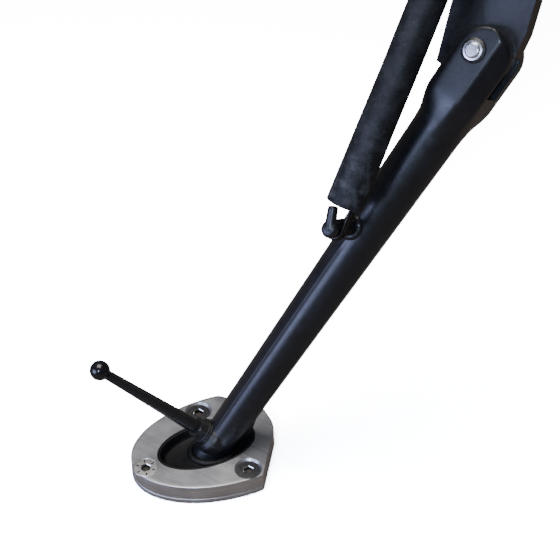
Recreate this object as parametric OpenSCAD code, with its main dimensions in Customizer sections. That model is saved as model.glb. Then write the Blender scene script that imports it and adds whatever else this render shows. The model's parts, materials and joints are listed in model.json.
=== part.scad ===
// Side stand for a motorcycle: a frame bracket, a forked leg that swings on a pivot bolt,
// a foot with a screwed-on enlargement plate, a foot tang, and a pair of return springs.
// Frame: +X forward, +Y outboard, +Z up. The origin is the middle of the bracket's two bolt
// holes, on its back face.

/* [Stance] */
// Lean of the swing plane outboard from upright, degrees
lean = 26.3; // [22:0.1:30]
// Rake of the leg forward within the swing plane when it stands, degrees
rake = 20.4; // [16:0.1:24]
// Pivot to ground along the leg
leg_len = 327; // [300:1:360]
// Swing from standing to stowed, degrees
swing = 100; // [90:1:104]

/* [Bracket] */
// Pivot behind the middle of the bolt holes
pivot_back = 30; // [28:1:40]
// Pivot outboard of the bracket's back face
pivot_out = 38; // [36:1:42]
// Pivot below the bolt holes
pivot_drop = 88; // [84:1:96]
// Thickness of the back plate
plate_t = 10; // [8:0.5:12]
// Distance between the two bolt holes
hole_gap = 64; // [56:1:72]
// Diameter of a bolt hole
hole_d = 10.5; // [10.2:0.1:11]
// Thickness of the tongue between the fork's ears
tongue_t = 12; // [10:0.5:14]

/* [Pivot] */
// Diameter of the pivot bolt's shank
bolt_d = 12; // [10:1:13]
// Outer diameter of the bush pressed into the tongue
bush_d = 18; // [16:0.5:20]
// Radial running gap of the bolt in the bush
run_gap = 0.05; // [0.02:0.01:0.1]

/* [Leg] */
// Width of the fork across the swing
fork_w = 32.4; // [31:0.1:33]
// Thickness of the fork along the pivot
fork_t = 38; // [36:1:40]
// Axis of the leg and fork behind the pivot
leg_back = 3.1; // [2:0.1:4]
// Diameter of the leg's taper, carried up to the pivot
leg_top_d = 32.4; // [30:0.1:32.8]
// Leg diameter at the ground
leg_low_d = 23; // [22:0.1:24]

/* [Foot] */
// Length of the enlargement plate's full oval
oval_l = 134; // [124:1:140]
// Width of the enlargement plate's oval
oval_w = 83.4; // [78:0.2:88]
// Length of the opening in the ring
opening_l = 67.8; // [62:0.2:72]
// Width of the opening in the ring
opening_w = 40; // [36:0.2:44]
// Thickness of the lower plate
lower_t = 4; // [3:0.5:5]
// Thickness of the upper ring
ring_t = 11; // [10:0.5:12]

/* [Tang] */
// Tang axis from the leg's axis to the middle of the ball
tang_reach = 102; // [90:0.5:112]
// Diameter of the ball
ball_d = 13; // [12:0.5:16]
// Diameter of the rod at its thick end
tang_d = 9.5; // [9:0.1:11]
// Diameter of the rod at the ball
tang_neck_d = 6.4; // [6:0.1:8]

/* [Springs] */
// Hook on the leg: distance from the pivot
hook_reach = 126.6; // [122:0.1:130]
// Anchor on the bracket: distance from the pivot
anchor_reach = 50.9; // [48:0.1:54]
// Spring plane outboard of the middle of the leg
spring_off = 35; // [34.5:0.5:38]
// Outer diameter of the rubber sleeve
sleeve_d = 21.6; // [20.6:0.1:22]
// Wire of the outer spring
wire_d = 3; // [2.6:0.1:3.2]
// Wire of the inner spring
inner_wire_d = 2.4; // [2:0.1:2.6]

/* [Hidden] */
$fn = 64;

// Pivot and its frame: x forward, y down the swing plane, z outboard along the pivot.
pivot = [-pivot_back, pivot_out, -pivot_drop];
leg_dir = [sin(rake), cos(rake) * sin(lean), -cos(rake) * cos(lean)];
leg_rear = [-cos(rake), sin(rake) * sin(lean), -sin(rake) * cos(lean)];
ground = pivot + leg_len * leg_dir + leg_back * leg_rear;
// The leg's axis meets the ground just forward and inboard of the middle of the foot.
foot = ground - [3, -2, 0];
leg_turn = 90 - rake;

// Fork: the slot takes the tongue and two dust seals, and its floor is the stop.
slot_half = tongue_t / 2 + 1.2;
slot_deep = 19;
ear_r = fork_w / 2;
bevel = 3;
facet = 9;
fork_end = 27;
blend_end = 54;
tongue_r = 17;
stop_gap = 0.15;
heel_out = 19.5;

// Leg radius at a distance x from the pivot.
function leg_r(x) = (leg_top_d - (leg_top_d - leg_low_d) * x / leg_len) / 2;

// Foot pad, its floor and the ring round it.
floor_z = 8;
rim_z = 14.3;
rim_gap = 0.5;
rim_t = 2.8;
flange_t = 2.8;
flange_out = 1.6;
ring_top = lower_t + ring_t;
opening_at = [1.7, -3.3];
opening_turn = 56.8;
oval_at = [-6.1, -16.3];
oval_turn = 54.7;
// Corners of the trimmed end, in the oval's own frame.
trim = [[90, 60], [0.6, 60], [-33, 4], [-34.3, -4], [-33, -17.5], [7, -56], [20, -70], [90, -70]];
// Screws: the outboard one is bright and flush, the other two are black and sunk.
bright_at = [[23.1, 35.8]];
black_at = [[-34.2, -0.2], [25.1, -25.6]];
screw_r = 4;
head_r = 8;
sink_r = 9.2;
flush_r = 8.1;
hex_d = 5.8;

// Tang: turned outboard from straight ahead, and tipped a little up the leg.
tang_at = 308;
tang_out = 47.8;
tang_up = 12.1;
boss_end = 14.2;
boss_r = 8.7;
stud_r = 4;
stud_from = 4;
washer_r = 8.7;
washer_t = 1.6;
nut_across = 13;
nut_t = 5.6;

// Springs: the hook and the anchor stand at equal angles from the middle of the swing, so that
// the spring is as long stowed as it is standing.
hook_turn = 68.63;
anchor_turn = hook_turn + swing / 2 + 180;
hook_at = hook_reach * [cos(hook_turn), sin(hook_turn)];
anchor_at = anchor_reach * [cos(anchor_turn), sin(anchor_turn)];
span = norm(anchor_at - hook_at);
span_turn = atan2(anchor_at[1] - hook_at[1], anchor_at[0] - hook_at[0]);
seat_r = 4;
eye_gap = 0.3;
coil_r = 7.7;
inner_coil_r = 4.6;
outer_z = spring_off - 1.6;
inner_z = spring_off + 1.4;
seat_low = outer_z - wire_d / 2 - 0.5;
seat_high = inner_z + inner_wire_d / 2 + 0.6;
sleeve_from = 15.4;
sleeve_t = 1.1;
coil_from = 25;
horn_turn = 27;

module at_pivot() {
    translate(pivot) rotate([lean - 90, 0, 0]) children();
}

// x runs down the swing plane beside the leg from the pivot, y to the rear.
module along_fork() {
    at_pivot() rotate([0, 0, leg_turn]) children();
}

// x runs down the leg's own axis, from beside the pivot.
module along_leg() {
    along_fork() translate([0, leg_back, 0]) children();
}

// A round bar or cone whose axis runs down the leg from x = a to x = b.
module leg_bar(a, b, ra, rb) {
    along_leg() translate([a, 0, 0]) rotate([0, 90, 0]) cylinder(h = b - a, r1 = ra, r2 = rb);
}

module on_ground() {
    translate(foot) children();
}

// z runs out along the tang from the leg's axis.
module along_tang() {
    along_leg() translate([tang_at, 0, 0]) rotate([90 - tang_out, 0, 0])
        rotate([0, -tang_up, 0]) children();
}

// x runs from the hook to the anchor.
module along_spring() {
    at_pivot() translate([hook_at[0], hook_at[1], 0]) rotate([0, 0, span_turn]) children();
}

module oval(l, w, step = 5) {
    polygon([for (t = [0 : step : 359]) [l / 2 * cos(t), w / 2 * sin(t)]]);
}

module plate_outline() {
    translate(oval_at) rotate(oval_turn) intersection() {
        oval(oval_l, oval_w, 4);
        polygon(trim);
    }
}

module opening(grow) {
    translate(opening_at) rotate(opening_turn) oval(opening_l + 2 * grow, opening_w + 2 * grow);
}

module rounded(x0, x1, y0, y1, r) {
    translate([x0 + r, y0]) square([x1 - x0 - 2 * r, y1 - y0]);
    translate([x0, y0 + r]) square([x1 - x0, y1 - y0 - 2 * r]);
    for (x = [x0 + r, x1 - r], y = [y0 + r, y1 - r]) {
        translate([x, y]) circle(r);
    }
}

// Outline of the tongue: a round end, a heel on each side that the fork's floor meets at the
// ends of the swing, and a neck that runs up to the back plate.
module tongue_outline() {
    circle(tongue_r);
    difference() {
        polygon([[-22, -96], [27, -96], heel(0, -heel_out), heel(0, -5), [0, 0],
                 heel(swing, 5), heel(swing, heel_out)]);
        circle(bush_d / 2);
    }
}

// Corner of a heel: the fork's floor stands at this turn of the leg.
function heel(turn, side) = let (
    a = leg_turn + turn,
    x = slot_deep - stop_gap
) [x * cos(a) - side * sin(a), x * sin(a) + side * cos(a)];

module frame_bracket() {
    color([0.05, 0.05, 0.06]) difference() {
        union() {
            rotate([90, 0, 0]) mirror([0, 0, 1]) linear_extrude(plate_t)
                rounded(-54, 50, -54, 17, 12);
            for (x = [-hole_gap / 2, hole_gap / 2]) {
                translate([x, 0, 0]) rotate([-90, 0, 0]) cylinder(h = plate_t + 2, r = 12);
            }
            difference() {
                at_pivot() union() {
                    translate([0, 0, -tongue_t / 2]) linear_extrude(tongue_t) tongue_outline();
                    translate([anchor_at[0], anchor_at[1], -20]) cylinder(h = 36, r = 9);
                }
                translate([-100, -100, -150]) cube([200, 100, 250]);
                translate([-100, -1, 16]) cube([200, 100, 60]);
            }
        }
        for (x = [-hole_gap / 2, hole_gap / 2]) {
            translate([x, -1, 0]) rotate([-90, 0, 0]) cylinder(h = plate_t + 9, r = hole_d / 2);
        }
        at_pivot() {
            translate([0, 0, -tongue_t]) cylinder(h = 2 * tongue_t, r = bush_d / 2);
            translate([anchor_at[0], anchor_at[1], -2]) cylinder(h = 30, r = 5);
        }
    }
}

module pivot_bush() {
    color([0.6, 0.5, 0.3]) at_pivot() difference() {
        translate([0, 0, -slot_half + 0.3]) cylinder(h = 2 * slot_half - 0.6, r = bush_d / 2);
        translate([0, 0, -20]) cylinder(h = 40, r = bolt_d / 2 + run_gap);
    }
}

module dust_seals() {
    color([0.08, 0.08, 0.08]) at_pivot() for (s = [0, 1]) mirror([0, 0, s]) difference() {
        translate([0, 0, tongue_t / 2]) cylinder(h = 0.9, r = 13);
        translate([0, 0, 1]) cylinder(h = 10, r = bush_d / 2 + 0.1);
    }
}

// Pin with a waist where the spring eyes sit, seen from its own axis.
module pin_profile(low, high) {
    rotate_extrude() polygon([
        [0, low], [5, low], [5, seat_low - 1], [seat_r, seat_low], [seat_r, seat_high],
        [5, seat_high + 0.8], [5, high - 1], [4, high], [0, high]
    ]);
}

module anchor_post() {
    color([0.7, 0.7, 0.7]) at_pivot() translate([anchor_at[0], anchor_at[1], 0]) difference() {
        pin_profile(-2, seat_high + 6);
        translate([0, 0, seat_high + 2.6]) ring(1.3, 6, 4.2);
    }
}

// Flat ring: thickness, outer and inner radius.
module ring(t, r_out, r_in) {
    difference() {
        cylinder(h = t, r = r_out);
        translate([0, 0, -1]) cylinder(h = t + 2, r = r_in);
    }
}

module anchor_clip() {
    color([0.3, 0.3, 0.3]) at_pivot() translate([anchor_at[0], anchor_at[1], seat_high + 2.7])
        difference() {
            ring(1.1, 7.5, 4.2);
            translate([0, -2, -1]) cube([10, 4, 4]);
        }
}

module fork_section() {
    polygon([[-ear_r, -fork_t / 2 + bevel], [-ear_r + bevel, -fork_t / 2],
             [ear_r - bevel, -fork_t / 2], [ear_r, -fork_t / 2 + bevel],
             [ear_r, fork_t / 2 - bevel], [ear_r - bevel, fork_t / 2],
             [-ear_r + bevel, fork_t / 2], [-ear_r, fork_t / 2 - bevel]]);
}

module fork_bar(a, b) {
    translate([a, 0, 0]) rotate([90, 0, 90]) linear_extrude(b - a) fork_section();
}

// One forging: fork, blend and tapered leg, cut off level on the floor of the foot pad.
module leg_forging() {
    color([0.04, 0.05, 0.08]) difference() {
        union() {
            along_leg() difference() {
                union() {
                    rotate_extrude() polygon([
                        [0, -fork_t / 2], [ear_r - bevel, -fork_t / 2],
                        [ear_r, -fork_t / 2 + bevel], [ear_r, fork_t / 2 - bevel],
                        [ear_r - bevel, fork_t / 2], [0, fork_t / 2]
                    ]);
                    fork_bar(0, fork_end);
                    intersection() {
                        fork_bar(fork_end - 1, blend_end);
                        translate([fork_end - 10, 0, 0]) rotate([0, 90, 0]) cylinder(
                            h = blend_end - fork_end + 10, r1 = 27.5, r2 = leg_r(blend_end));
                    }
                }
                // Facet along the outboard rear corner.
                translate([-50, ear_r - facet, fork_t / 2]) rotate([-45, 0, 0])
                    translate([0, -20, 0]) cube([120, 60, 20]);
            }
            leg_bar(fork_end, leg_len, leg_r(fork_end), leg_r(leg_len));
        }
        along_fork() {
            translate([-30, -30, -slot_half]) cube([30 + slot_deep, 60, 2 * slot_half]);
            translate([0, 0, -30]) cylinder(h = 60, r = bolt_d / 2 + run_gap);
        }
        on_ground() translate([-50, -50, -30]) cube([100, 100, 30 + floor_z]);
        along_tang() translate([0, 0, stud_from - 1.5]) cylinder(h = 20, r = stud_r);
    }
}

module leg_cut() {
    leg_bar(40, leg_len + 20, leg_r(40), leg_r(leg_len + 20));
}

// Pressed dish: a flange held under the ring, a floor, and a rim that stands in the opening.
module foot_pad() {
    color([0.03, 0.03, 0.04]) on_ground() difference() {
        union() {
            translate([0, 0, lower_t]) linear_extrude(flange_t) opening(flange_out);
            translate([0, 0, lower_t]) linear_extrude(rim_z - lower_t) opening(-rim_gap);
        }
        translate([0, 0, floor_z]) linear_extrude(20) opening(-rim_gap - rim_t);
    }
}

// Web under the leg, in the upright plane through its axis.
module foot_gusset() {
    color([0.04, 0.04, 0.05]) difference() {
        on_ground() translate([3, -2, 0])
            rotate([90, 0, atan2(-leg_dir[1], -leg_dir[0])]) translate([0, 0, -3.5])
                linear_extrude(7) polygon([[-6, floor_z], [29, floor_z], [29, 12], [38, 38],
                                           [24, 38]]);
        leg_cut();
        foot_weld_shape(1);
    }
}

// Bead of weld that runs round the leg on the floor of the pad.
module foot_weld_shape(inset) {
    intersection() {
        leg_bar(leg_len - 25, leg_len - 3, leg_r(leg_len) + 0.2, leg_r(leg_len) + 5.5);
        on_ground() translate([-50, -50, floor_z]) cube([100, 100, 12]);
    }
}

module foot_weld() {
    color([0.04, 0.04, 0.05]) difference() {
        foot_weld_shape(0);
        leg_cut();
        along_tang() cylinder(h = 40, r = boss_r);
    }
}

// Hook: a post square to the leg, with a waist for the spring eyes and an upright horn.
module hook_post() {
    color([0.03, 0.03, 0.04]) difference() {
        at_pivot() translate([hook_at[0], hook_at[1], 0]) {
            rotate_extrude() polygon([
                [0, 0], [5.5, 0], [5.5, seat_low - 1.5], [seat_r, seat_low], [seat_r, seat_high],
                [4.9, seat_high + 1], [5.3, seat_high + 3], [5.0, seat_high + 5],
                [3.6, seat_high + 6.4], [0, seat_high + 7]
            ]);
            translate([0, 0, seat_high + 3.4]) rotate([0, 0, leg_turn + 180 + horn_turn])
                rotate([0, 90, 0]) {
                    cylinder(h = 12.5, r1 = 3.3, r2 = 2.7);
                    translate([0, 0, 12.5]) cylinder(h = 1.2, r1 = 2.7, r2 = 1.6);
                }
        }
        leg_cut();
    }
}

module hook_weld() {
    near = hook_reach - 20;
    color([0.05, 0.05, 0.06]) difference() {
        intersection() {
            at_pivot() translate([hook_at[0], hook_at[1], 0]) cylinder(h = 20, r = 8.6);
            leg_bar(near, near + 40, leg_r(near) + 2.6, leg_r(near + 40) + 2.6);
        }
        leg_cut();
        at_pivot() translate([hook_at[0], hook_at[1], -1]) cylinder(h = 30, r = 5.5);
    }
}

module tang_boss() {
    color([0.04, 0.04, 0.05]) difference() {
        along_tang() cylinder(h = boss_end, r = boss_r);
        leg_cut();
        along_tang() translate([0, 0, -1]) cylinder(h = 30, r = stud_r);
        on_ground() translate([-50, -50, -10]) cube([100, 100, 10 + floor_z + 0.2]);
    }
}

module tang_washer() {
    color([0.1, 0.1, 0.11]) along_tang() translate([0, 0, boss_end])
        ring(washer_t, washer_r, stud_r);
}

module tang_nut() {
    color([0.1, 0.1, 0.11]) along_tang() translate([0, 0, boss_end + washer_t]) difference() {
        intersection() {
            cylinder(h = nut_t, r = nut_across / sqrt(3), $fn = 6);
            cylinder(h = nut_t, r1 = nut_across / 2 + 3, r2 = nut_across / 2 + 0.1);
        }
        translate([0, 0, -1]) cylinder(h = 20, r = stud_r);
    }
}

// Turned rod: thread in the boss, a rounded thick end, a long taper and a ball.
module tang_rod() {
    nut_top = boss_end + washer_t + nut_t;
    color([0.05, 0.05, 0.06]) along_tang() {
        translate([0, 0, stud_from]) cylinder(h = nut_top - stud_from + 1, r = stud_r);
        rotate_extrude() polygon([
            [0, nut_top], [3.6, nut_top], [tang_d / 2 - 0.5, nut_top + 0.8],
            [tang_d / 2, nut_top + 2.6], [tang_d / 2, nut_top + 6],
            [tang_neck_d / 2, tang_reach - ball_d / 2 + 0.8], [0, tang_reach - ball_d / 2 + 0.8]
        ]);
        translate([0, 0, tang_reach]) sphere(ball_d / 2);
    }
}

module screw_holes(spots, r) {
    for (p = spots) {
        translate([p[0], p[1], -1]) cylinder(h = 40, r = r);
    }
}

module lower_plate() {
    color([0.75, 0.75, 0.74]) on_ground() difference() {
        linear_extrude(lower_t) plate_outline();
        screw_holes(concat(bright_at, black_at), screw_r);
    }
}

// Countersink whose mouth has radius r at the top of the ring.
module sink(spots, r) {
    for (p = spots) {
        translate([p[0], p[1], ring_top - r + screw_r]) cylinder(h = r - screw_r, r1 = screw_r, r2 = r);
        translate([p[0], p[1], ring_top - 0.001]) cylinder(h = 1, r = r);
    }
}

module upper_ring() {
    color([0.6, 0.6, 0.61]) on_ground() difference() {
        translate([0, 0, lower_t]) linear_extrude(ring_t) plate_outline();
        translate([0, 0, lower_t - 1]) linear_extrude(ring_t + 2) opening(0);
        translate([0, 0, lower_t - 1]) linear_extrude(1.2 + flange_t) opening(flange_out + 0.3);
        screw_holes(concat(bright_at, black_at), screw_r + 0.2);
        sink(black_at, sink_r);
        sink(bright_at, flush_r);
    }
}

// Countersunk screw with a hexagon socket; its head's flat top is at this height.
module screws(spots, top) {
    cone_h = head_r - screw_r;
    on_ground() for (p = spots) translate([p[0], p[1], 0]) difference() {
        union() {
            translate([0, 0, 0.6]) cylinder(h = top - cone_h - 0.6, r = screw_r - 0.02);
            translate([0, 0, top - cone_h]) cylinder(h = cone_h, r1 = screw_r - 0.02, r2 = head_r - 0.04);
        }
        translate([0, 0, top - 3]) cylinder(h = 4, r = hex_d / 2, $fn = 6);
    }
}

module black_screws() {
    color([0.12, 0.12, 0.12]) screws(black_at, ring_top - (sink_r - head_r));
}

module bright_screw() {
    color([0.8, 0.8, 0.79]) screws(bright_at, ring_top - (flush_r - head_r));
}

// Shoulder bolt: a low round head outboard, a plain shank through both ears, a threaded end.
module pivot_bolt() {
    color([0.8, 0.8, 0.8]) at_pivot() {
        translate([0, 0, -fork_t / 2 - 1.6]) cylinder(h = fork_t + 1.6, r = bolt_d / 2);
        translate([0, 0, -fork_t / 2 - 12]) cylinder(h = 11, r = 5);
        rotate_extrude() polygon([
            [0, fork_t / 2], [7.2, fork_t / 2], [7.2, fork_t / 2 + 0.9],
            [5.6, fork_t / 2 + 1.8], [4.3, fork_t / 2 + 2], [4, fork_t / 2 + 3],
            [0, fork_t / 2 + 3.3]
        ]);
    }
}

module pivot_washer() {
    color([0.7, 0.7, 0.7]) at_pivot() translate([0, 0, -fork_t / 2 - 1.6])
        ring(1.6, 9.5, bolt_d / 2 + 0.02);
}

module pivot_nut() {
    color([0.6, 0.6, 0.6]) at_pivot() translate([0, 0, -fork_t / 2 - 1.6]) mirror([0, 0, 1])
        difference() {
            union() {
                intersection() {
                    cylinder(h = 7, r = 17 / sqrt(3), $fn = 6);
                    cylinder(h = 7, r1 = 12, r2 = 8.7);
                }
                cylinder(h = 9, r = 7);
            }
            translate([0, 0, -1]) cylinder(h = 20, r = 5);
        }
}

// Eye, neck and cross-over of a spring end; the eye's middle is at the origin.
module spring_end(wire, z, reach, side) {
    eye_r = seat_r + eye_gap + wire / 2;
    translate([0, 0, z]) {
        rotate_extrude() translate([eye_r, 0]) circle(wire / 2);
        translate([eye_r, 0, 0]) rotate([0, 90, 0]) cylinder(h = reach - eye_r, r = wire / 2);
    }
    translate([reach, 0, min(z, spring_off + side)])
        cylinder(h = abs(spring_off + side - z), r = wire / 2);
}

// Close-wound coil, as a tube of its outer and inner radius.
module coil(wire, mean_r, from) {
    translate([from, 0, spring_off]) rotate([0, 90, 0])
        ring(span - 2 * from, mean_r + wire / 2, mean_r - wire / 2);
}

module tension_spring(wire, z, mean_r, from, side) {
    along_spring() {
        coil(wire, mean_r, from);
        spring_end(wire, z, from, side);
        translate([span, 0, 0]) mirror([1, 0, 0]) spring_end(wire, z, from, side);
    }
}

module outer_spring() {
    color([0.25, 0.25, 0.26]) tension_spring(wire_d, outer_z, coil_r, coil_from, -coil_r);
}

module inner_spring() {
    color([0.25, 0.25, 0.26])
        tension_spring(inner_wire_d, inner_z, inner_coil_r, coil_from + 3, inner_coil_r);
}

module spring_sleeve() {
    color([0.07, 0.07, 0.08]) along_spring() translate([sleeve_from, 0, spring_off])
        rotate([0, 90, 0]) ring(span - 2 * sleeve_from, sleeve_d / 2, sleeve_d / 2 - sleeve_t);
}

frame_bracket();
pivot_bush();
dust_seals();
anchor_post();
anchor_clip();
leg_forging();
foot_pad();
foot_gusset();
foot_weld();
hook_post();
hook_weld();
tang_boss();
tang_washer();
tang_nut();
tang_rod();
lower_plate();
upper_ring();
black_screws();
bright_screw();
pivot_bolt();
pivot_washer();
pivot_nut();
outer_spring();
inner_spring();
spring_sleeve();
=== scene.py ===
import json
import math
import bmesh
import bpy
import numpy as np
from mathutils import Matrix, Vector


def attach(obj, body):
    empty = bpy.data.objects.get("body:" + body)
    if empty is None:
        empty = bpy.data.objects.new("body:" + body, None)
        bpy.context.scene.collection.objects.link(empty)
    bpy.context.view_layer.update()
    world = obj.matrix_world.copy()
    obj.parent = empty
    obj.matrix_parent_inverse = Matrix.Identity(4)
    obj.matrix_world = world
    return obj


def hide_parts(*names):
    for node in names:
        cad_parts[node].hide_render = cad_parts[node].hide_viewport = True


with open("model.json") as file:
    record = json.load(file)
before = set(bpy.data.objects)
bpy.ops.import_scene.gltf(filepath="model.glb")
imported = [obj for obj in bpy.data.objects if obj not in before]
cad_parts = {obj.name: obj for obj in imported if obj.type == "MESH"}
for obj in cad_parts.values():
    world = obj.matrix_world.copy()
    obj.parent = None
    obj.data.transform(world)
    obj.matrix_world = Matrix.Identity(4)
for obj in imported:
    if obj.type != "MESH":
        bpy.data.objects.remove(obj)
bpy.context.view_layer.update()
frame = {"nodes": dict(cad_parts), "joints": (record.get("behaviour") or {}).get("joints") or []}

# Camera, floor and lights.
# The stand is set up on a pale studio floor, seen from behind and outboard. A broad cool panel low down
# outboard draws the sheen along the leg, a small one shines past the camera, and a large one hangs above.
mm = 0.001
leg_pivot, spring_swing = frame["joints"]
pivot = np.array(leg_pivot["pos_m"])
out = np.array(leg_pivot["axis"])
fore = np.array([1.0, 0.0, 0.0])
down = np.cross(out, fore)
rake, leg_back, leg_len = 20.4, 3.1, 327.0
part_fore, part_down = math.sin(math.radians(rake)), math.cos(math.radians(rake))
leg_down = part_fore * fore + part_down * down
leg_rear = part_fore * down - part_down * fore
leg_start = pivot + leg_back * mm * leg_rear
ground = leg_start + leg_len * mm * leg_down
foot = ground + mm * np.array([-3.0, 2.0, 0.0])

camera = bpy.data.objects.new("camera", bpy.data.cameras.new("camera"))
camera.data.lens = 70.903
camera.data.sensor_width = 36
camera.data.clip_start = 0.01
camera.location = Vector(foot) + Vector((-0.324092, 0.407920, 0.554505))
look = Vector((0.43226589, -0.6656311, -0.60834319))
camera.rotation_mode = "QUATERNION"
camera.rotation_quaternion = look.to_track_quat("-Z", "Y")
bpy.context.scene.collection.objects.link(camera)
bpy.context.scene.camera = camera


def add(tree, kind, inputs=None, **settings):
    """Adds a shader node; each input is a constant, or another node's output that is linked to it."""
    node = tree.nodes.new("ShaderNode" + kind)
    for name, value in settings.items():
        setattr(node, name, value)
    for name, value in (inputs or {}).items():
        if isinstance(value, bpy.types.NodeSocket):
            tree.links.new(value, node.inputs[name])
        else:
            node.inputs[name].default_value = value
    return node


world = bpy.data.worlds.new("studio")
world.use_nodes = True
sky = world.node_tree.nodes["Background"]
sky.inputs["Color"].default_value = (0.95, 0.95, 1.0, 1.0)
sky.inputs["Strength"].default_value = 0.11
bpy.context.scene.world = world

reach = 6.0
under = foot[2] - 0.0001
floor_mesh = bpy.data.meshes.new("floor")
floor_mesh.from_pydata([(-reach, -reach, under), (reach, -reach, under), (reach, reach, under),
                        (-reach, reach, under)], [], [(0, 1, 2, 3)])
floor = bpy.data.objects.new("floor", floor_mesh)
bpy.context.scene.collection.objects.link(floor)
pale = bpy.data.materials.new("pale_floor")
pale.use_nodes = True
tree = pale.node_tree
tree.nodes.remove(tree.nodes["Principled BSDF"])
seen = add(tree, "BsdfDiffuse", {"Color": (16.0, 16.0, 16.0, 1.0)})
lit = add(tree, "BsdfDiffuse", {"Color": (0.22, 0.185, 0.15, 1.0)})
either = add(tree, "MixShader", {0: add(tree, "LightPath").outputs["Is Camera Ray"],
                                 1: lit.outputs[0], 2: seen.outputs[0]})
tree.links.new(either.outputs[0], tree.nodes["Material Output"].inputs["Surface"])
floor_mesh.materials.append(pale)


def panel(name, offset, size, watts, colour):
    """Soft rectangular light at an offset in metres from the foot, turned to face the leg's middle."""
    light = bpy.data.objects.new(name, bpy.data.lights.new(name, "AREA"))
    light.data.shape = "RECTANGLE"
    light.data.size, light.data.size_y = size
    light.data.energy = watts
    light.data.color = colour
    light.location = Vector(foot) + Vector(offset)
    middle = Vector((pivot + ground) / 2)
    light.rotation_mode = "QUATERNION"
    light.rotation_quaternion = (middle - light.location).to_track_quat("-Z", "Y")
    bpy.context.scene.collection.objects.link(light)


panel("key", (0.66, 1.38, 0.42), (1.0, 0.8), 23, (0.52, 0.60, 1.0))
panel("window", (-0.50, 1.15, 0.95), (0.16, 0.16), 14, (0.6, 0.74, 1.0))
panel("top", (0.15, 0.0, 1.85), (1.2, 1.2), 34, (1.0, 0.975, 0.95))

# Frame bracket.
# A steel forging bolted to the frame: a back plate with two bosses, and a tongue that the leg's fork
# straddles. It is shot-blasted, its edges are ground round, and it is sprayed satin black.


def group(name, inputs, outputs):
    """New shader node group of plain numbers, its inputs with their defaults. Gives the group's tree, the
    numbers given to it, and the sockets of the values wanted from it."""
    made = bpy.data.node_groups.new(name, "ShaderNodeTree")
    for socket, value in inputs.items():
        number = made.interface.new_socket(socket, in_out="INPUT", socket_type="NodeSocketFloat")
        number.default_value = value
    for socket in outputs:
        made.interface.new_socket(socket, in_out="OUTPUT", socket_type="NodeSocketFloat")
    return made, made.nodes.new("NodeGroupInput").outputs, made.nodes.new("NodeGroupOutput").inputs


# Mottle: noise in the object's own space, spread between two values. Scale is in lumps per metre.
mottle, given, wanted = group("mottle", {"Scale": 100, "Detail": 4, "Low": 0, "High": 1}, ["Value"])
cloud = add(mottle, "TexNoise", {"Vector": add(mottle, "TexCoord").outputs["Object"],
                                 "Scale": given["Scale"], "Detail": given["Detail"], "Roughness": 0.6})
spread = add(mottle, "MapRange", {"Value": cloud.outputs["Fac"], "From Min": 0.3, "From Max": 0.7,
                                  "To Min": given["Low"], "To Max": given["High"]})
mottle.links.new(spread.outputs["Result"], wanted["Value"])

# Edge chips and glints: white on convex edges, broken up by noise. On coated pieces it places chipped
# paint, and on the aluminium a painted highlight.
chips_and_glints, given, wanted = group("edge_chips_and_glints", {"Amount": 0.5, "Scale": 400}, ["Mask"])
convex = add(chips_and_glints, "MapRange", {"Value": add(chips_and_glints, "NewGeometry").outputs["Pointiness"], "From Min": 0.53,
                                "From Max": 0.62, "To Min": 0.0, "To Max": given["Amount"]})
chips = add(chips_and_glints, "TexNoise", {"Vector": add(chips_and_glints, "TexCoord").outputs["Object"],
                               "Scale": given["Scale"], "Detail": 5.0})
broken = add(chips_and_glints, "MapRange", {"Value": chips.outputs["Fac"], "From Min": 0.42, "From Max": 0.6})
worn = add(chips_and_glints, "Math", {0: convex.outputs["Result"], 1: broken.outputs["Result"]}, operation="MULTIPLY")
chips_and_glints.links.new(worn.outputs[0], wanted["Mask"])

# Dust: settles on faces that look up while the stand is down, in soft patches.
dust, given, wanted = group("dust", {"Amount": 0.3, "Scale": 60}, ["Mask"])
where = add(dust, "TexCoord")
facing = add(dust, "SeparateXYZ", {0: where.outputs["Normal"]})
upward = add(dust, "MapRange", {"Value": facing.outputs["Z"], "From Min": -0.1, "From Max": 0.9,
                                "To Min": 0.0, "To Max": given["Amount"]})
patches = add(dust, "TexNoise", {"Vector": where.outputs["Object"], "Scale": given["Scale"], "Detail": 8.0,
                                 "Roughness": 0.7})
soft = add(dust, "MapRange", {"Value": patches.outputs["Fac"], "From Min": 0.4, "From Max": 0.75})
settled = add(dust, "Math", {0: upward.outputs["Result"], 1: soft.outputs["Result"]}, operation="MULTIPLY")
dust.links.new(settled.outputs[0], wanted["Mask"])


def effect(tree, made, **values):
    """Places a node group in a material with its own values, and gives its first output."""
    node = add(tree, "Group", node_tree=made)
    for name, value in values.items():
        node.inputs[name].default_value = value
    return node.outputs[0]


def blend(tree, share, low, high):
    """Colour between two colours, or between a colour and a node's colour, by a mask."""
    node = add(tree, "Mix", {"Factor": share}, data_type="RGBA")
    for socket, value in ((node.inputs[6], low), (node.inputs[7], high)):
        if isinstance(value, bpy.types.NodeSocket):
            tree.links.new(value, socket)
        else:
            socket.default_value = (*value, 1.0)
    return node.outputs[2]


def combine(tree, a, b, operation="ADD"):
    """Sum of two values, or another operation on them."""
    return add(tree, "Math", {0: a, 1: b}, operation=operation).outputs[0]


def blank(name, metal=0.0):
    """New material; gives it, its node tree, and its shader with the metallic value."""
    made = bpy.data.materials.new(name)
    made.use_nodes = True
    shader = made.node_tree.nodes["Principled BSDF"]
    shader.inputs["Metallic"].default_value = metal
    return made, made.node_tree, shader


def relieve(tree, shader, height, depth, strength=1.0):
    """Bumps a shader's surface by a height, of which 1 stands for a depth in millimetres."""
    bump = add(tree, "Bump", {"Height": height, "Strength": strength, "Distance": depth * mm})
    tree.links.new(bump.outputs["Normal"], shader.inputs["Normal"])


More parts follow.
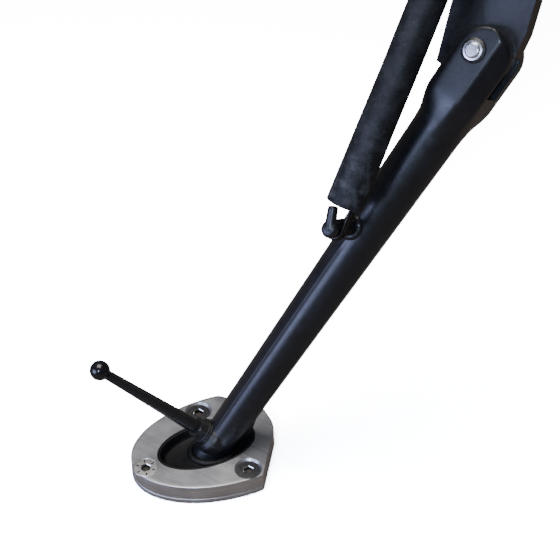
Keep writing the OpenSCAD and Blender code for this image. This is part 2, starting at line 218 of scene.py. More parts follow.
def coated(name, dark, light, lumps, rough, peel, chip, bare, dirt, metal=0.0):
    """Material of a coated or plain surface. Its colour drifts between dark and light, its roughness
    between the two values of rough, peel is the depth of its fine relief in millimetres, chip the share
    of bare colour on its edges, and dirt the share of dust on it."""
    made, tree, shader = blank(name, metal)
    drift = blend(tree, effect(tree, mottle, Scale=lumps, Detail=5), dark, light)
    edged = blend(tree, effect(tree, chips_and_glints, Amount=chip, Scale=500), drift, bare)
    dusty = effect(tree, dust, Amount=dirt, Scale=70)
    tree.links.new(blend(tree, dusty, edged, (0.22, 0.20, 0.18)), shader.inputs["Base Color"])
    sheen = effect(tree, mottle, Scale=lumps * 4, Detail=8, Low=rough[0], High=rough[1])
    tree.links.new(combine(tree, sheen, combine(tree, dusty, 0.5, "MULTIPLY")), shader.inputs["Roughness"])
    grain = effect(tree, mottle, Scale=900, Detail=3)
    waves = effect(tree, mottle, Scale=150, Detail=3, Low=0, High=2.5)
    relieve(tree, shader, combine(tree, grain, waves), peel)
    return made


satin_black = coated("satin_black", dark=(0.0030, 0.0033, 0.0048), light=(0.0065, 0.007, 0.010),
                     lumps=60, rough=(0.30, 0.40), peel=0.004, chip=0.35, bare=(0.06, 0.057, 0.054),
                     dirt=0.04)


def settle(piece, sharp=30):
    """Keeps the shape that the modifiers give as the piece's own mesh, smooth but for edges past the sharp
    angle in degrees. With no sharp angle its normals stay as the modifiers left them."""
    view = bpy.context.evaluated_depsgraph_get()
    mesh = bpy.data.meshes.new_from_object(piece.evaluated_get(view))
    piece.modifiers.clear()
    piece.data = mesh
    if sharp:
        mesh.shade_smooth()
        mesh.set_sharp_from_angle(angle=math.radians(sharp))
    return piece


def softened(name, node, width, segments=3):
    """Copy of a CAD node with its loose triangles merged, its flat faces joined, and its sharp edges
    rounded to a width in millimetres."""
    piece = bpy.data.objects.new(name, frame["nodes"][node].data.copy())
    bpy.context.scene.collection.objects.link(piece)
    piece.data.materials.clear()
    shape = bmesh.new()
    shape.from_mesh(piece.data)
    bmesh.ops.remove_doubles(shape, verts=shape.verts, dist=1e-6)
    bmesh.ops.dissolve_limit(shape, angle_limit=math.radians(0.5), verts=shape.verts, edges=shape.edges)
    shape.to_mesh(piece.data)
    shape.free()
    round_off = piece.modifiers.new("round_off", "BEVEL")
    round_off.width = width * mm
    round_off.segments = segments
    round_off.limit_method = "ANGLE"
    round_off.angle_limit = math.radians(32)
    settle(piece, 40)
    flatten = piece.modifiers.new("flatten", "WEIGHTED_NORMAL")
    flatten.weight = 100
    flatten.keep_sharp = True
    return settle(piece, None)


bracket = softened("bracket_forging", "frame_bracket", 1.2)
bracket.data.materials.append(satin_black)
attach(bracket, "bracket")
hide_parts("frame_bracket")

# Pivot bush and dust seals.
# The bush is sintered bronze pressed into the tongue, and a rubber seal sits on each side of it.
bronze = coated("sintered_bronze", dark=(0.42, 0.28, 0.12), light=(0.55, 0.38, 0.18), lumps=300,
                rough=(0.35, 0.5), peel=0.01, chip=0.3, bare=(0.8, 0.62, 0.35), dirt=0.05, metal=1.0)
seal_rubber = coated("seal_rubber", dark=(0.012, 0.012, 0.013), light=(0.02, 0.02, 0.021), lumps=200,
                     rough=(0.55, 0.7), peel=0.015, chip=0.1, bare=(0.05, 0.05, 0.05), dirt=0.15)
for node, material in (("pivot_bush", bronze), ("dust_seals", seal_rubber)):
    body = frame["nodes"][node]
    body.data.materials.clear()
    body.data.materials.append(material)

# Anchor post and clip.
# The post is turned from bar, zinc plated and pressed into the bracket's boss. The spring eyes sit in
# its waist, and a spring-steel clip snaps into the groove beyond them.


def in_frame(points, origin, axes):
    """Points in millimetres, laid out on three axes from an origin, as metres in the row frame."""
    return np.asarray(origin) + mm * (np.asarray(points, float) @ np.asarray(axes))


def solid(name, points, faces):
    """Mesh object of points and faces, its faces turned outwards, smooth but for sharp edges."""
    mesh = bpy.data.meshes.new(name)
    mesh.from_pydata(points, [], faces)
    shape = bmesh.new()
    shape.from_mesh(mesh)
    bmesh.ops.recalc_face_normals(shape, faces=shape.faces)
    shape.to_mesh(mesh)
    shape.free()
    mesh.shade_smooth()
    mesh.set_sharp_from_angle(angle=math.radians(30))
    piece = bpy.data.objects.new(name, mesh)
    bpy.context.scene.collection.objects.link(piece)
    return piece


def skin(name, rings, looped=False, tips=(None, None)):
    """Surface over an array of rings by points by 3. Quads join each ring to the next; an end is closed
    by a flat face, or by a fan to its tip; looped joins the last ring to the first instead."""
    count, round_count = rings.shape[:2]
    index = np.arange(count * round_count).reshape(count, round_count)
    low, high = (index, np.roll(index, -1, 0)) if looped else (index[:-1], index[1:])
    quads = np.stack([low, np.roll(low, -1, 1), np.roll(high, -1, 1), high], 2).reshape(-1, 4)
    points, faces = rings.reshape(-1, 3), quads.tolist()
    for ring, tip in () if looped else zip((index[0], index[-1]), tips):
        if tip is None:
            faces.append(ring.tolist())
        else:
            fan = np.stack([ring, np.roll(ring, -1), np.full(round_count, len(points))], 1)
            points, faces = np.vstack([points, tip]), faces + fan.tolist()
    return solid(name, points, faces)


def rounded(corners, closed=False, steps=6):
    """Outline through corners (x, y, radius) with each corner made an arc. The arc touches both sides at
    radius / tan(half the corner's angle) from the corner, and its middle is radius / sin(half) from it.
    The two ends of an open outline stay as they are."""
    corners = np.asarray(corners, float)
    spot, radius = corners[:, :2], np.maximum(corners[:, 2:], 0.02)
    back, ahead = np.roll(spot, 1, 0) - spot, np.roll(spot, -1, 0) - spot
    back /= np.linalg.norm(back, axis=1, keepdims=True) + 1e-12
    ahead /= np.linalg.norm(ahead, axis=1, keepdims=True) + 1e-12
    half = np.arccos(np.clip((back * ahead).sum(1, keepdims=True), -0.9999, 0.9999)) / 2
    start, end = spot + back * radius / np.tan(half), spot + ahead * radius / np.tan(half)
    inward = back + ahead
    centre = spot + inward / np.linalg.norm(inward, axis=1, keepdims=True) * radius / np.sin(half)
    turn = (math.pi - 2 * half)[:, None]
    share = np.linspace(0, 1, steps)[None, :, None]
    arcs = centre[:, None] + ((start - centre)[:, None] * np.sin((1 - share) * turn)
                              + (end - centre)[:, None] * np.sin(share * turn)) / np.sin(turn)
    if closed:
        return arcs.reshape(-1, 2)
    return np.vstack([spot[:1], arcs[1:-1].reshape(-1, 2), spot[-1:]])


def turned(name, outline, place, sides=64, looped=False):
    """Turned shape: each (radius, height) of the outline runs round the place's third axis. The outline
    starts and ends on that axis, or is a loop beside it."""
    outline = np.asarray(outline, float)
    tips = (None, None)
    if not looped:
        tips = [in_frame([0, 0, height], *place) for height in outline[[0, -1], 1]]
        outline = outline[1:-1]
    turn = np.linspace(0, 2 * math.pi, sides, endpoint=False)
    radius, height = outline[:, :1], outline[:, 1:]
    rings = np.stack([radius * np.cos(turn), radius * np.sin(turn), height + 0 * turn], 2)
    return skin(name, in_frame(rings, *place), looped, tips)


def swung(flat, angle):
    """Flat points (x, y) turned about the origin by an angle."""
    c, s = math.cos(angle), math.sin(angle)
    return np.stack([flat[..., 0] * c - flat[..., 1] * s, flat[..., 0] * s + flat[..., 1] * c], -1)


# The anchor stands opposite the middle of the hook's swing, so the springs are as long stowed as standing.
swing_axes = (fore, down, out)
pivot_frame = (pivot, swing_axes)
hook = np.array(spring_swing["pos_m"])
hook_flat = np.array([(hook - pivot) @ fore, (hook - pivot) @ down]) / mm
half_swing = math.radians(leg_pivot["range_deg"][1] / 2)
anchor_reach, spring_off = 50.9, 35.0
anchor_flat = -anchor_reach * swung(hook_flat, half_swing) / np.linalg.norm(hook_flat)
anchor_frame = (in_frame([*anchor_flat, 0], *pivot_frame), swing_axes)
hook_frame = (hook - spring_off * mm * out, swing_axes)
# The eyes' seat starts and ends at these heights along both posts.
seat_low, seat_high = 31.4, 38.2
zinc = coated("zinc_plate", dark=(0.55, 0.57, 0.60), light=(0.68, 0.70, 0.72), lumps=250,
              rough=(0.22, 0.36), peel=0.006, chip=0.2, bare=(0.85, 0.85, 0.85), dirt=0.06, metal=1.0)
clip_steel = coated("phosphated_steel", dark=(0.10, 0.10, 0.10), light=(0.17, 0.17, 0.17), lumps=400,
                    rough=(0.35, 0.5), peel=0.006, chip=0.5, bare=(0.5, 0.5, 0.5), dirt=0.05, metal=1.0)
post = turned("spring_anchor", rounded([
    (0, -2, 0), (5, -2, 0.4), (5, seat_low - 1, 0.6), (4, seat_low, 0.6), (4, seat_high, 0.6),
    (5, seat_high + 0.8, 0.3), (5, seat_high + 2.6, 0.1), (4.2, seat_high + 2.6, 0.1),
    (4.2, seat_high + 3.9, 0.1), (5, seat_high + 3.9, 0.1), (5, seat_high + 6, 1.0),
    (0, seat_high + 6, 0)]), anchor_frame)
post.data.materials.append(zinc)
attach(post, "bracket")
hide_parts("anchor_post")
clip = softened("anchor_snap_clip", "anchor_clip", 0.2, 2)
clip.data.materials.append(clip_steel)
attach(clip, "bracket")
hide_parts("anchor_clip")

# Leg forging.
# One drop forging: two ears, a short blend, and a tapered round leg with the parting line of the dies
# trimmed down its front and back. The slot and the bore are machined, and the whole is painted.
leg_axes = (leg_down, leg_rear, out)
leg_frame, fork_frame, ground_frame = (leg_start, leg_axes), (pivot, leg_axes), (foot, np.eye(3))
# Millimetres: the taper's diameters at the pivot and the ground, the fork's half width and half thickness,
# where the fork and its blend end, its bevel and facet, what is machined out, and the stretch with a ridge.
leg_top_d, leg_low_d = 32.4, 23.0
fork_half, ear_half, fork_end, blend_end = 16.2, 19.0, 27.0, 54.0
bevel, facet = 3, 18.5
slot_half, slot_deep, bore = 7.2, 19, 6.05
parting, ridge_from, ridge_to = math.atan2(0.98, -0.21), 134, 306
floor_level = 8.0


def leg_radius(x):
    """Radius of the leg's straight taper at a distance from the pivot."""
    return (leg_top_d - (leg_top_d - leg_low_d) * x / leg_len) / 2


def floor_reach(turn):
    """Distance from the pivot at which the tapered leg meets the dish's floor, in a direction turn round
    its axis: the fall along the axis and the rise of the radius add up to the floor's height."""
    rise = np.cos(turn) * leg_rear[2] + np.sin(turn) * out[2]
    height = (foot[2] - leg_start[2]) / mm + floor_level
    return (height - leg_top_d / 2 * rise) / (leg_down[2] - (leg_top_d - leg_low_d) / 2 / leg_len * rise)


def round_axis(x, radius, turn):
    """Points at a distance x down an axis and a radius from it, in a direction turn round it."""
    return np.stack([x + 0 * turn, radius * np.cos(turn), radius * np.sin(turn)], -1)


def smooth(t):
    """Rises from 0 to 1 with level ends."""
    t = np.clip(t, 0, 1)
    return t * t * (3 - 2 * t)


def forging(x, turn, hardness=26):
    """Radius of the forging at a distance x and a direction turn round the axis. The fork is the soft
    least of the distances to its sides, its ear faces, its bevels and the wide facet on its outboard rear
    corner: one over the k-th root of the sum of each inverse distance to the power k, the hardness. It
    blends into the round leg, whose parting line is a ridge with a groove beside it."""
    side = np.sqrt(np.maximum(fork_half ** 2 - np.minimum(x, 0) ** 2, 0.3))
    rear, outward = np.cos(turn), np.sin(turn)
    corner = (side + ear_half - bevel) / math.sqrt(2)
    total = 0
    for toward_rear, toward_out, distance in (
            (1, 0, side), (-1, 0, side), (0, 1, ear_half), (0, -1, ear_half),
            (-1, 1, corner), (-1, -1, corner), (1, -1, corner), (1, 1, np.minimum(corner, facet))):
        length = math.hypot(toward_rear, toward_out)
        facing = (toward_rear * rear + toward_out * outward) / length
        total = total + (np.maximum(facing, 0) / distance) ** hardness
    fork = total ** (-1 / hardness)
    share = smooth((x - fork_end) / (blend_end - fork_end))
    radius = (1 - share) * fork + share * leg_radius(x)
    for seam in (parting, parting - math.pi):
        off = (seam - turn + math.pi) % (2 * math.pi) - math.pi
        beside = off * leg_radius(x)
        ridge = 0.38 * np.exp(-(beside / 0.75) ** 2) - 0.16 * np.exp(-((beside - 1.5) / 0.5) ** 2)
        radius = radius + ridge * smooth((x - ridge_from) / 10) * smooth((ridge_to - x) / 12)
    return radius


fine = np.radians(np.linspace(-9, 9, 31))
turn = np.sort(np.concatenate([np.radians(np.arange(0, 360, 3.0)), (parting + fine) % (2 * math.pi),
                               (parting - math.pi + fine) % (2 * math.pi)]))
slant_from = 270.0
stations = np.concatenate([
    -fork_half * np.cos(np.linspace(0.08, math.pi / 2, 18)), np.linspace(2, fork_end, 10),
    np.linspace(fork_end + 1.5, blend_end, 20), np.linspace(blend_end + 4, slant_from, 56)])
slant = np.linspace(0, 1, 16)[1:, None]
x = np.vstack([stations[:, None] + 0 * turn, slant_from + slant * (floor_reach(turn) - slant_from)])
leg = skin("leg_forging_painted", in_frame(round_axis(x, forging(x, turn[None, :]), turn), *leg_frame))


def carve(piece, *cutters, sharp=30):
    """Cuts the cutters out of a piece for good, and removes them."""
    for cutter in cutters:
        cut = piece.modifiers.new("cut", "BOOLEAN")
        cut.object = cutter
        cut.solver = "EXACT"
    settle(piece, sharp)
    for cutter in cutters:
        bpy.data.objects.remove(cutter)
    return piece


def block(low, high, place):
    """Plain box between two corners in a frame, for cutting."""
    (x0, y0, z0), (x1, y1, z1) = low, high
    rings = [[(x0, y0, z), (x1, y0, z), (x1, y1, z), (x0, y1, z)] for z in (z0, z1)]
    return skin("cutter", in_frame(rings, *place))


def drill(radius, low, high, place):
    """Round bar between two heights on a frame's third axis, for cutting."""
    outline = rounded([(0, low, 0), (radius, low, 0.1), (radius, high, 0.1), (0, high, 0)])
    return turned("cutter", outline, place, 48)


carve(leg, block((-30, -30, -slot_half), (slot_deep, 30, slot_half), fork_frame),
      drill(bore, -30, 30, fork_frame))
leg.data.materials.append(satin_black)
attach(leg, "leg")
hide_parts("leg_forging")

# Foot pad.
# A pressed steel dish, painted with the leg. Its flange is held under the aluminium ring, and its rim
# stands in the ring's opening. Boots and wet roads have dulled its paint, and its colour is darker than
# the leg's as painted shade.
# The dish's paint is a darker copy of the leg's: the darker colour is painted shade.
dish_shaded_paint = coated("dulled_shaded_black", dark=(0.002, 0.002, 0.0025), light=(0.005, 0.005, 0.0055), lumps=90,
                    rough=(0.42, 0.60), peel=0.03, chip=0.15, bare=(0.03, 0.028, 0.026), dirt=0.02)
dish_shaded_paint.node_tree.nodes["Principled BSDF"].inputs["Specular IOR Level"].default_value = 0.3
# The ring's opening, with its half length and half width, and the heights of the plate's two halves.
opening_middle, opening_turn = np.array([1.7, -3.3]), math.radians(56.8)
opening_long, opening_wide = 33.9, 20.0
lower_t, ring_top = 4.0, 15.0


def opening(inset, points=120):
    """Oval of the ring's opening, made smaller all round by the inset, in the ground frame."""
    t = np.linspace(0, 2 * math.pi, points, endpoint=False)
    oval = np.stack([(opening_long - inset) * np.cos(t), (opening_wide - inset) * np.sin(t)], -1)
    return swung(oval, opening_turn) + opening_middle


def slab(name, outline, profile, tips=(None, None)):
    """Plate on the ground frame: its outline is made again at each (inset, height) of the profile. Flat
    faces close it, or fans to its two tips."""
    rings = np.stack([np.insert(outline(inset), 2, height, axis=1) for inset, height in profile])
    return skin(name, in_frame(rings, *ground_frame), tips=tips)


dish = slab("foot_dish", opening, rounded([
    (19, lower_t, 0), (-1.6, lower_t, 0.5), (-1.6, 6.8, 0.5), (0.15, 6.8, 0.3), (0.15, 14.5, 0.5),
    (1.5, 14.5, 0.6), (3.3, floor_level, 2.4), (19, floor_level, 0)]),
    [in_frame([*opening_middle, height], *ground_frame) for height in (lower_t, floor_level)])
dish.data.materials.append(dish_shaded_paint)
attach(dish, "leg")
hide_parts("foot_pad")

# Gusset and welds of the foot.
# A plate web stiffens the leg under its lean. It and the leg are welded to the dish by hand, so the
# bead runs round the leg in overlapping ripples.


def bead(path, outward, up, thick, ripples):
    """Rings of a run of weld round a closed path, in millimetres. They stand on the outward and up
    directions, and their radius swells and falls once for each ripple."""
    share = np.linspace(0, 1, len(path), endpoint=False)[:, None, None]
    ring = np.linspace(0, 2 * math.pi, 20, endpoint=False)[None, :, None]
    swell = thick * (0.95 + 0.05 * np.abs(np.sin(math.pi * ripples * share + 0.5 * np.cos(ring)))
                     + 0.05 * np.sin(2 * math.pi * 3 * share + 1))
    return path[:, None] + swell * (np.cos(ring) * outward[:, None] + np.sin(ring) * up[:, None])


around = np.linspace(0, 2 * math.pi, 480, endpoint=False)
upright = np.tile([0.0, 0.0, 1.0], (len(around), 1))
base_x = floor_reach(around)
base = in_frame(round_axis(base_x, leg_radius(base_x), around), *leg_frame) / mm
away = base - base.mean(0)
away /= np.linalg.norm(away, axis=1, keepdims=True)
rings = bead(base + 0.8 * away, away, upright, thick=2.4, ripples=22)
foot_bead = skin("foot_weld_bead", rings * mm, looped=True)
web = softened("foot_web", "foot_gusset", 1.0)
# The weld bead and the web take the dish's darker colour, as painted shade.
for piece, node in ((foot_bead, "foot_weld"), (web, "foot_gusset")):
    piece.data.materials.append(dish_shaded_paint)
    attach(piece, "leg")
    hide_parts(node)

# Spring hook.
# A bar welded square to the leg, waisted where the spring eyes sit, with a forged knob and a finger bent
# up from it that keeps the eyes on.
finger_turn = math.radians(270 - rake + 27)
finger = np.array([math.cos(finger_turn), math.sin(finger_turn), 0])
finger_side = np.array([-finger[1], finger[0], 0])
hook_bar = turned("hook_bar", rounded([
    (0, 4, 0), (5.5, 4, 0.3), (5.5, seat_low - 1.5, 0.8), (4, seat_low, 0.8), (4, seat_high, 0.6),
    (4.9, seat_high + 1, 0.6), (5.3, seat_high + 3, 2.0), (5.0, seat_high + 5, 1.4),
    (3.6, seat_high + 6.4, 1.2), (0, seat_high + 7, 0)]), hook_frame, 72)
knob = in_frame([0, 0, seat_high + 3.4], *hook_frame)
finger_axes = np.array([finger_side, (0, 0, 1), finger]) @ np.array(swing_axes)
horn = turned("hook_horn", rounded([
    (0, 0, 0), (3.9, 0, 0.3), (3.35, 4, 2.0), (3.1, 12.0, 0.6), (2.9, 13.7, 0.9), (0, 13.9, 0)]),
    (knob, finger_axes), 48)
join = hook_bar.modifiers.new("join", "BOOLEAN")
join.operation = "UNION"
join.object = horn
join.solver = "EXACT"
even = hook_bar.modifiers.new("even", "REMESH")
even.mode = "VOXEL"
even.voxel_size = 0.35 * mm
melt = hook_bar.modifiers.new("melt", "SMOOTH")
melt.factor = 0.6
melt.iterations = 10
settle(hook_bar, 60)
bpy.data.objects.remove(horn)
hook_bar.data.materials.append(satin_black)
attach(hook_bar, "leg")
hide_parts("hook_post")

hook_leg = np.array([(hook - leg_start) @ leg_down, (hook - leg_start) @ leg_rear]) / mm
away = np.stack([np.cos(around), np.sin(around), 0 * around], 1)
root = np.append(hook_leg, 0) + 6.9 * away
root[:, 2] = np.sqrt(leg_radius(root[:, 0]) ** 2 - root[:, 1] ** 2)
rings = bead(root - 1.2 * away - 0.7 * upright, away, upright, thick=2.9, ripples=9)
hook_bead = skin("hook_weld_bead", in_frame(rings, *leg_frame), looped=True)
hook_bead.data.materials.append(satin_black)
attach(hook_bead, "leg")
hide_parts("hook_weld")

# Foot tang.
# A turned rod with a ball for the rider's boot. It screws into a boss welded on the leg, and a nut locks
# it against a washer.
aside, tip = math.radians(47.8), math.radians(12.1)
level_out = math.sin(aside) * out - math.cos(aside) * leg_rear
tang_out = math.cos(tip) * level_out - math.sin(tip) * leg_down
tang_down = math.cos(tip) * leg_down + math.sin(tip) * level_out
tang_at, boss_end, washer_end = 308, 14.2, 15.8
tang_frame = (leg_start + tang_at * mm * leg_down, (tang_down, np.cross(tang_out, tang_down), tang_out))
boss = turned("tang_boss_body", rounded([
    (0, 2, 0), (12.6, 2, 0.2), (12.2, 9.0, 3.0), (9.0, 12.4, 1.6), (8.7, boss_end, 0.5), (0, boss_end, 0)]),
    tang_frame)
washer = turned("tang_lock_washer", rounded([
    (4, boss_end, 0.2), (8.7, boss_end, 0.3), (8.7, washer_end, 0.5), (4, washer_end, 0.2)], closed=True),
    tang_frame, looped=True)
nut = softened("tang_lock_nut", "tang_nut", 0.35, 2)
ball_r, ball_at = 6.5, 102
over_ball = np.linspace(math.pi - 0.52, 0, 40)
rod = turned("tang_ball_rod", np.vstack([
    rounded([(0, 4, 0), (4, 4, 0.4), (4, 21.4, 0.1), (4.3, 21.6, 0.4), (4.75, 24, 1.5), (4.7, 28, 2.0),
             (4.2, 52, 20), (3.35, 88, 10), (3.2, 95.2, 0.5)])[:-1],
    np.column_stack([ball_r * np.sin(over_ball), ball_at + ball_r * np.cos(over_ball)])]), tang_frame, 56)
rod_paint = coated("worn_black", dark=(0.004, 0.004, 0.0045), light=(0.011, 0.010, 0.010), lumps=900,
                   rough=(0.34, 0.46), peel=0.03, chip=0.5, bare=(0.05, 0.045, 0.04), dirt=0.05)
ball_gloss = coated("polished_black", dark=(0.003, 0.003, 0.004), light=(0.006, 0.006, 0.008), lumps=200,
                    rough=(0.12, 0.20), peel=0.004, chip=0.0, bare=(0.05, 0.045, 0.04), dirt=0.03)


def part_painted(piece, place, main, *others):
    """Gives a piece its main material and others, each (material, test). A test takes each face's radius
    and height in the frame, and how far the face is level; a face takes the last material whose test it
    passes."""
    faces = len(piece.data.polygons)
    middles, normals = np.empty(faces * 3), np.empty(faces * 3)
    piece.data.polygons.foreach_get("center", middles)
    piece.data.polygons.foreach_get("normal", normals)
    local = (middles.reshape(-1, 3) - place[0]) @ np.transpose(place[1]) / mm
    level = normals.reshape(-1, 3) @ place[1][2]
    piece.data.materials.append(main)
    layer = np.zeros(faces, np.int32)
    for k, (material, test) in enumerate(others):
        piece.data.materials.append(material)
        layer[test(np.hypot(local[:, 0], local[:, 1]), local[:, 2], level)] = k + 1
    piece.data.polygons.foreach_set("material_index", layer)


part_painted(rod, tang_frame, rod_paint, (ball_gloss, lambda radius, height, level: height > 95.4))
for piece in (boss, washer, nut):
    piece.data.materials.append(rod_paint)
for piece, node in ((boss, "tang_boss"), (washer, "tang_washer"), (nut, "tang_nut"), (rod, "tang_rod")):
    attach(piece, "leg")
    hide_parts(node)

# Enlargement plate.
# A lower plate and a thick ring, both milled from aluminium plate and brushed along their length. They
# clamp the dish's flange between them, with a fine seam all round.


def brushed(name, low, high, grain_turn, rough):
    """Milled and brushed aluminium: on level faces fine scratches run along one direction, on walls they
    run round the piece, as the cutter left them. They drift the colour, the roughness and the relief.
    Convex edges are painted near white as a highlight."""
    made, tree, shader = blank(name, 1.0)
    where = add(tree, "TexCoord")
    turn_to = add(tree, "Mapping", {"Vector": where.outputs["Object"], "Rotation": (0, 0, grain_turn),
                                    "Scale": (14.0, 1900.0, 14.0)})
    level = add(tree, "TexNoise", {"Vector": turn_to.outputs[0], "Scale": 1.0, "Detail": 6.0,
                                   "Roughness": 0.7})
    round_wall = add(tree, "Mapping", {"Vector": where.outputs["Object"], "Scale": (25.0, 25.0, 2200.0)})
    wall = add(tree, "TexNoise", {"Vector": round_wall.outputs[0], "Scale": 1.0, "Detail": 5.0})
    facing = add(tree, "SeparateXYZ", {0: where.outputs["Normal"]})
    flat = add(tree, "MapRange", {"Value": combine(tree, facing.outputs["Z"], 0.0, "ABSOLUTE"),
                                  "From Min": 0.6, "From Max": 0.8})
    scratch = add(tree, "Mix", {"Factor": flat.outputs["Result"], 2: wall.outputs["Fac"],
                                3: level.outputs["Fac"]}).outputs[0]
    spread = add(tree, "MapRange", {"Value": scratch, "From Min": 0.3, "From Max": 0.7})
    tone = blend(tree, spread.outputs["Result"], low, high)
    clouds = effect(tree, mottle, Scale=45, Detail=5, Low=0.0, High=0.55)
    cloudy = blend(tree, clouds, tone, (0.36, 0.37, 0.39))
    # Convex edges are painted near white as a highlight.
    bright = blend(tree, effect(tree, chips_and_glints, Amount=0.8, Scale=900), cloudy, (0.95, 0.95, 0.95))
    tree.links.new(bright, shader.inputs["Base Color"])
    dull = add(tree, "MapRange", {"Value": scratch, "From Min": 0.3, "From Max": 0.7, "To Min": rough[0],
                                  "To Max": rough[1]})
    smudges = effect(tree, mottle, Scale=60, Detail=6, Low=-0.03, High=0.08)
    tree.links.new(combine(tree, dull.outputs["Result"], smudges), shader.inputs["Roughness"])
    relieve(tree, shader, scratch, 0.03, 0.5)
    return made


aluminium = brushed("brushed_aluminium", (0.50, 0.505, 0.52), (0.68, 0.685, 0.70), math.radians(20),
                    (0.30, 0.44))
# The plate's full oval, with its half length and half width, and the corners of its trimmed end.
oval_middle, oval_turn = np.array([-6.1, -16.3]), math.radians(54.7)
oval_long, oval_wide = 67.0, 41.7
trimmed = np.array([(0.6, 60), (-33, 4), (-34.3, -4), (-33, -17.5), (7, -56)])


def plate_outline(inset, points=420, hardness=70):
    """Outline of the enlargement plate, made smaller all round by the inset: in each direction from the
    oval's middle the soft least of the oval's radius and the distance to each line between the trimmed
    end's corners, as on the fork."""
    t = np.linspace(0, 2 * math.pi, points, endpoint=False)
    ray = np.stack([np.cos(t), np.sin(t)], 1)
    within = (ray / (oval_long - inset, oval_wide - inset)) ** 2
    total = (within[:, 0] + within[:, 1]) ** (hardness / 2)
    for a, b in zip(trimmed, trimmed[1:]):
        normal = np.array([b[1] - a[1], a[0] - b[0]]) / math.dist(a, b)
        normal = normal * np.sign(normal @ a)
        total = total + np.maximum(ray @ normal / (normal @ a - inset), 0) ** hardness
    return swung(ray * total[:, None] ** (-1 / hardness), oval_turn) + oval_middle


def at_spot(spot):
    """Frame whose third axis stands upright at a spot in the ground frame."""
    return (in_frame([*spot, 0], *ground_frame), np.eye(3))


# Places of the screws, and the radii of their shanks, their holes and the mouths of their countersinks.
black_spots, bright_spot = ((-34.2, -0.2), (25.1, -25.6)), (23.1, 35.8)
screw_r, hole_r, sunk_mouth, flush_mouth = 4, 4.2, 9.2, 8.1
lower = slab("lower_plate_milled", plate_outline,
             rounded([(3, 0, 0), (0, 0, 0.8), (0, lower_t, 0.5), (3, lower_t, 0)]))
carve(lower, *[drill(screw_r, -1, 6, at_spot(spot)) for spot in (*black_spots, bright_spot)])
ring = slab("upper_ring_milled", plate_outline,
            rounded([(3, lower_t, 0), (0.25, lower_t, 0.5), (0.25, ring_top, 0.6), (3, ring_top, 0)]))


def sink(spot, mouth):
    """Cutter of a countersunk hole with a broken edge at its mouth."""
    return turned("cutter", rounded([
        (0, 0, 0), (hole_r, 0, 0.1), (hole_r, ring_top - mouth + hole_r, 0.1), (mouth, ring_top, 0.1),
        (mouth + 0.25, ring_top + 0.12, 0.1), (mouth + 0.25, 20, 0.1), (0, 20, 0)]), at_spot(spot), 72)


carve(ring,
      slab("cutter", opening, [(-1.9, 2), (-1.9, 7), (-0.3, 7), (-0.3, ring_top - 0.4),
                               (-0.7, ring_top + 0.01), (-0.7, 18)]),
      *[sink(spot, sunk_mouth) for spot in black_spots], sink(bright_spot, flush_mouth))
for piece, node in ((lower, "lower_plate"), (ring, "upper_ring")):
    piece.data.materials.append(aluminium)
    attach(piece, "leg")
    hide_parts(node)

# Plate screws.
# Three countersunk socket screws, cut to length. Two are blackened and sit deep, and the third is
# stainless, flush, and has six marks struck round its socket.
black_oxide = coated("black_oxide", dark=(0.05, 0.051, 0.055), light=(0.11, 0.11, 0.115), lumps=700,
                     rough=(0.32, 0.5), peel=0.006, chip=0.0, bare=(0.5, 0.5, 0.5), dirt=0.12, metal=1.0)
stainless = coated("stainless_steel", dark=(0.78, 0.76, 0.74), light=(0.96, 0.95, 0.93), lumps=500,
                   rough=(0.30, 0.42), peel=0.02, chip=0.0, bare=(0.95, 0.95, 0.95), dirt=0.05,
                   metal=1.0)
bright_steel = coated("bright_steel", dark=(0.75, 0.74, 0.73), light=(0.9, 0.9, 0.9), lumps=900,
                     rough=(0.15, 0.3), peel=0.004, chip=0.0, bare=(0.95, 0.95, 0.95), dirt=0.0,
                     metal=1.0)
# Near-black painted shade for the deep faces of the sockets and the floors of the marks.
socket_shade = coated("socket_painted_shade", dark=(0.02, 0.015, 0.012), light=(0.04, 0.03, 0.02), lumps=900,
                      rough=(0.4, 0.6), peel=0.01, chip=0.0, bare=(0.05, 0.05, 0.05), dirt=0.0)


def screw(name, spot, top, metal, marks=0):
    """Countersunk screw: a turned head and shank, with a hexagon socket and struck marks cut out of it.
    The socket's mouth is coloured bright steel, and below it the socket and the floors of the marks are
    painted shade."""
    place = at_spot(spot)
    body = turned(name, rounded([
        (0, 0.6, 0), (3.6, 0.6, 0.2), (3.95, 1.0, 0.2), (3.95, top - 4, 0.3), (7.9, top - 0.25, 0.15),
        (7.7, top, 0.12), (0, top, 0)]), place, 72)
    cutters = [turned("cutter", rounded([
        (0, top - 4.4, 0), (3.3, top - 3, 0.1), (3.3, top - 0.45, 0.1), (3.85, top + 0.1, 0.1),
        (3.85, top + 1, 0.1), (0, top + 1, 0)]), place, 6)]
    for k in range(marks):
        a = 2 * math.pi * (k + 0.25) / marks
        axes = np.array([[math.cos(a), math.sin(a), 0], [-math.sin(a), math.cos(a), 0], [0, 0, 1]])
        cutters.append(block((4.5, -0.5, top - 0.5), (6.9, 0.5, top + 1), (place[0], axes)))
    carve(body, *cutters, sharp=25)

    def socket_and_marks(radius, height, level):
        """The socket's wall and edge, and the floors of the struck marks."""
        socket = (radius < 3.75) & (height > top - 4.5) & ((level < 0.98) | (height < top - 1))
        return socket | (radius > 4.3) & (abs(height - top + 0.5) < 0.02)

    def painted_shade_below(radius, height, level):
        """What of that lies deeper than the socket's edge; it is painted shade."""
        return socket_and_marks(radius, height, level) & (height < top - 0.49)

    # The socket's mouth is coloured bright steel; deeper in, the socket and the marks' floors are painted
    # shade.
    part_painted(body, place, metal, (bright_steel, socket_and_marks), (socket_shade, painted_shade_below))
    return body


